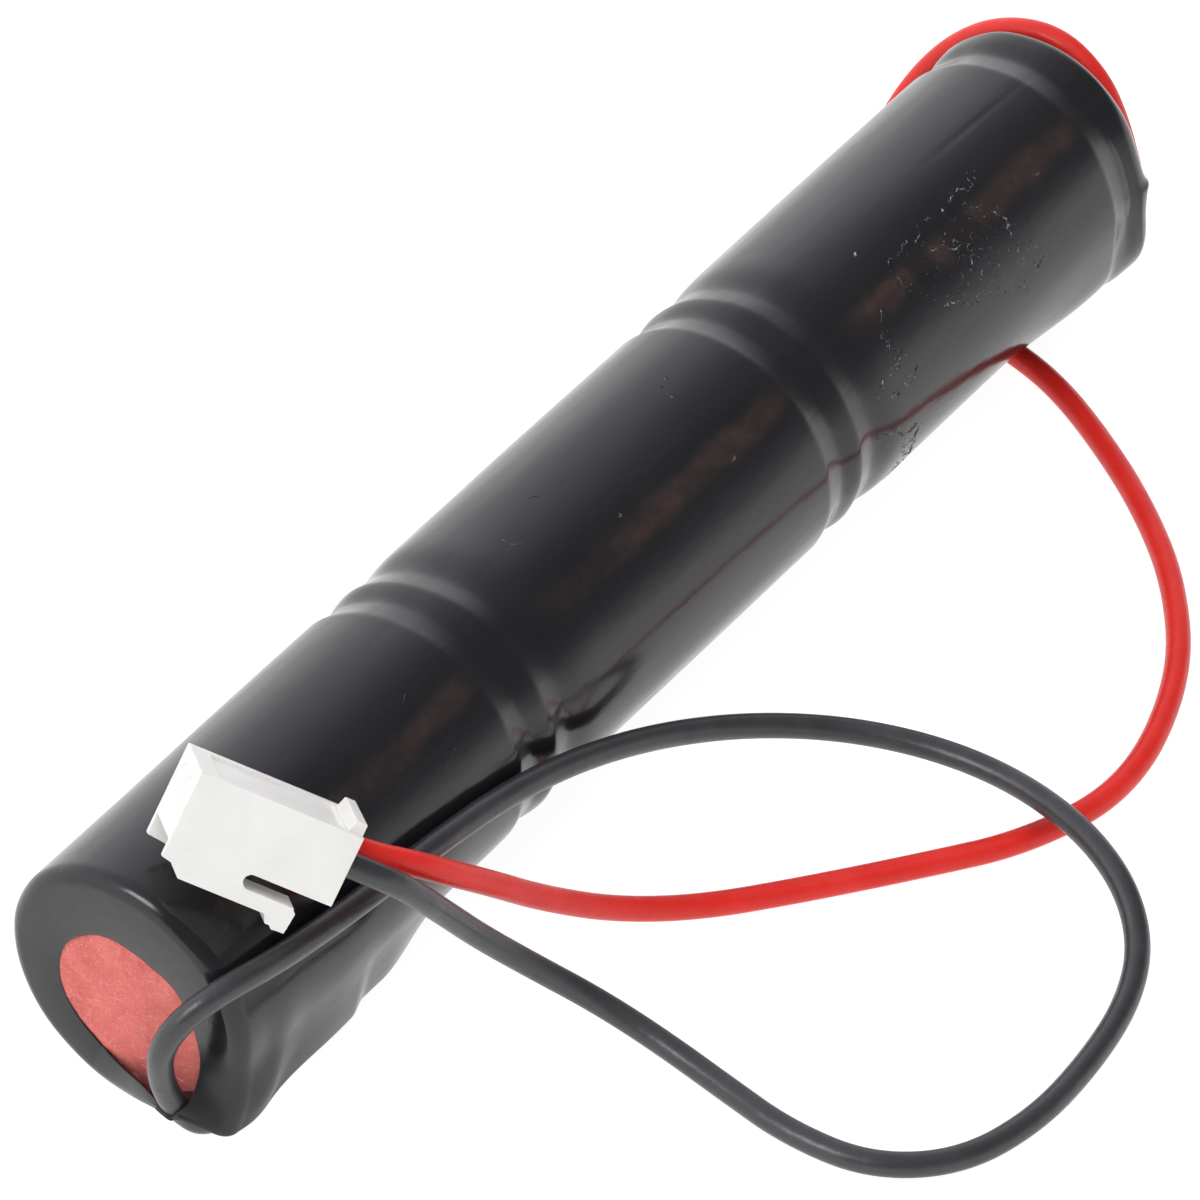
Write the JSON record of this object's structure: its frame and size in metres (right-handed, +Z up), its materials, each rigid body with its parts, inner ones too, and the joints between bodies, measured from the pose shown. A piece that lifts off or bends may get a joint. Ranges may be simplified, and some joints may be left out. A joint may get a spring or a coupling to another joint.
{
  "type": "battery pack",
  "caption": "Stick battery pack: round cells end to end in a black shrink sleeve, with a red and a black lead that end in a two-way plug with a sprung latch.",
  "frame": {"origin": "middle of the stick's footprint on the surface it lies on", "axes": "+X from the negative end with the black lead to the positive end with the red lead, +Z up"},
  "size_m": [0.199, 0.1093, 0.0491],
  "materials": {
    "sleeve": "glossy shrink film",
    "red_insulation": "satin",
    "black_insulation": "satin",
    "plug_plastic": "satin",
    "tinned_copper": "dull",
    "contact": "tinned",
    "nickel_plate": "satin",
    "cell_plastic": "matte",
    "vent_rubber": "matte",
    "electrode_roll": "matte",
    "red_paper": "fibrous",
    "card": "matte"
  },
  "bodies": {
    "pack": {"black_conductor": "tinned_copper", "black_solder": "tinned_copper", "black_tail": "black_insulation", "cell_1_can": "nickel_plate", "cell_1_cap": "nickel_plate", "cell_1_cap_ring": "card", "cell_1_collector": "nickel_plate", "cell_1_gasket": "cell_plastic", "cell_1_insulator": "cell_plastic", "cell_1_roll": "electrode_roll", "cell_1_valve": "vent_rubber", "cell_2_can": "nickel_plate", "cell_2_cap": "nickel_plate", "cell_2_cap_ring": "card", "cell_2_collector": "nickel_plate", "cell_2_gasket": "cell_plastic", "cell_2_insulator": "cell_plastic", "cell_2_roll": "electrode_roll", "cell_2_valve": "vent_rubber", "cell_3_can": "nickel_plate", "cell_3_cap": "nickel_plate", "cell_3_cap_ring": "card", "cell_3_collector": "nickel_plate", "cell_3_gasket": "cell_plastic", "cell_3_insulator": "cell_plastic", "cell_3_roll": "electrode_roll", "cell_3_valve": "vent_rubber", "far_end_paper": "red_paper", "far_end_strip": "nickel_plate", "lead_black": "black_insulation", "lead_red": "red_insulation", "link_1_insulator": "card", "link_1_strip": "nickel_plate", "link_2_insulator": "card", "link_2_strip": "nickel_plate", "near_end_paper": "red_paper", "near_end_strip": "nickel_plate", "plug_conductor_black": "tinned_copper", "plug_conductor_red": "tinned_copper", "plug_housing": "plug_plastic", "plug_tail_black": "black_insulation", "plug_tail_red": "red_insulation", "plug_terminal_black": "contact", "plug_terminal_red": "contact", "red_conductor": "tinned_copper", "red_solder": "tinned_copper", "sleeve": "sleeve"},
    "latch": {"plug_latch": "plug_plastic"}
  },
  "joints": [
    {"name": "latch_flex", "type": "hinge", "parent": "pack", "child": "latch", "pos_m": [-0.08717, -0.01183, 0.03502], "axis": [-0.6308, -0.6591, 0.4095], "range_deg": [0, 9], "stiffness_Nm_per_rad": 0.05}
  ]
}
